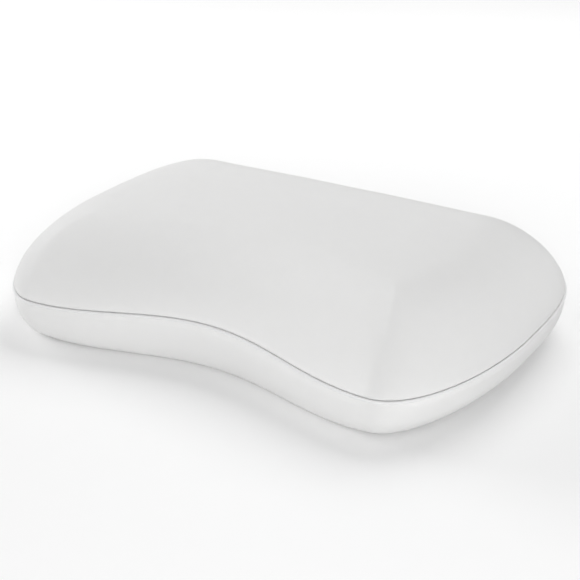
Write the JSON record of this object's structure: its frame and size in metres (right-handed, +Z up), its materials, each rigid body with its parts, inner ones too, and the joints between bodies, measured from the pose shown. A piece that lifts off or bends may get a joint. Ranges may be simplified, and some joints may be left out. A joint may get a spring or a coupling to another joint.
{
  "type": "bed pillow",
  "caption": "Contour bed pillow with a shoulder notch: moulded foam core in a liner, inside a piped knit cover with a zip along the back.",
  "frame": {"origin": "under the middle of the pillow, on the surface that it lies on", "axes": "+X along the pillow's length, +Y from the notched shoulder side to the straight back with the zip, +Z up"},
  "size_m": [0.61, 0.406, 0.13],
  "materials": {
    "knit_cover": "fine white polyester knit, matt, slightly fuzzy",
    "piping_knit": "the same knit, cut on the bias and wrapped round a cord",
    "filler_cord": "twisted cotton cord",
    "liner_tricot": "thin warp-knit tricot",
    "memory_foam": "open-cell viscoelastic polyurethane foam with a moulded skin",
    "zip_tape": "woven polyester herringbone tape",
    "zip_coil": "white polyester monofilament coil",
    "zip_metal": "white lacquered zinc, slightly worn at the edges"
  },
  "bodies": {
    "pillow": {"cover_top_panel": "knit_cover", "cover_bottom_panel": "knit_cover", "piping_wrap": "piping_knit", "piping_cord": "filler_cord", "liner_top": "liner_tricot", "liner_bottom": "liner_tricot", "foam_core": "memory_foam", "zip_tape_upper": "zip_tape", "zip_tape_lower": "zip_tape", "zip_coil_upper": "zip_coil", "zip_coil_lower": "zip_coil", "zip_top_stop_upper": "zip_metal", "zip_top_stop_lower": "zip_metal", "zip_bottom_stop": "zip_metal"},
    "slider": {"zip_slider": "zip_metal"},
    "pull": {"zip_pull": "zip_metal"}
  },
  "joints": [
    {"name": "zip_slide", "type": "slide", "parent": "pillow", "child": "slider", "axis": [-1, 0, 0], "range_m": [0, 0.278], "deforming": ["zip_coil_upper", "zip_coil_lower"]},
    {"name": "pull_swing", "type": "hinge", "parent": "slider", "child": "pull", "pos_m": [0.1467, 0.20111, 0.0485], "axis": [0, 0, -1], "range_deg": [0, 160]}
  ]
}
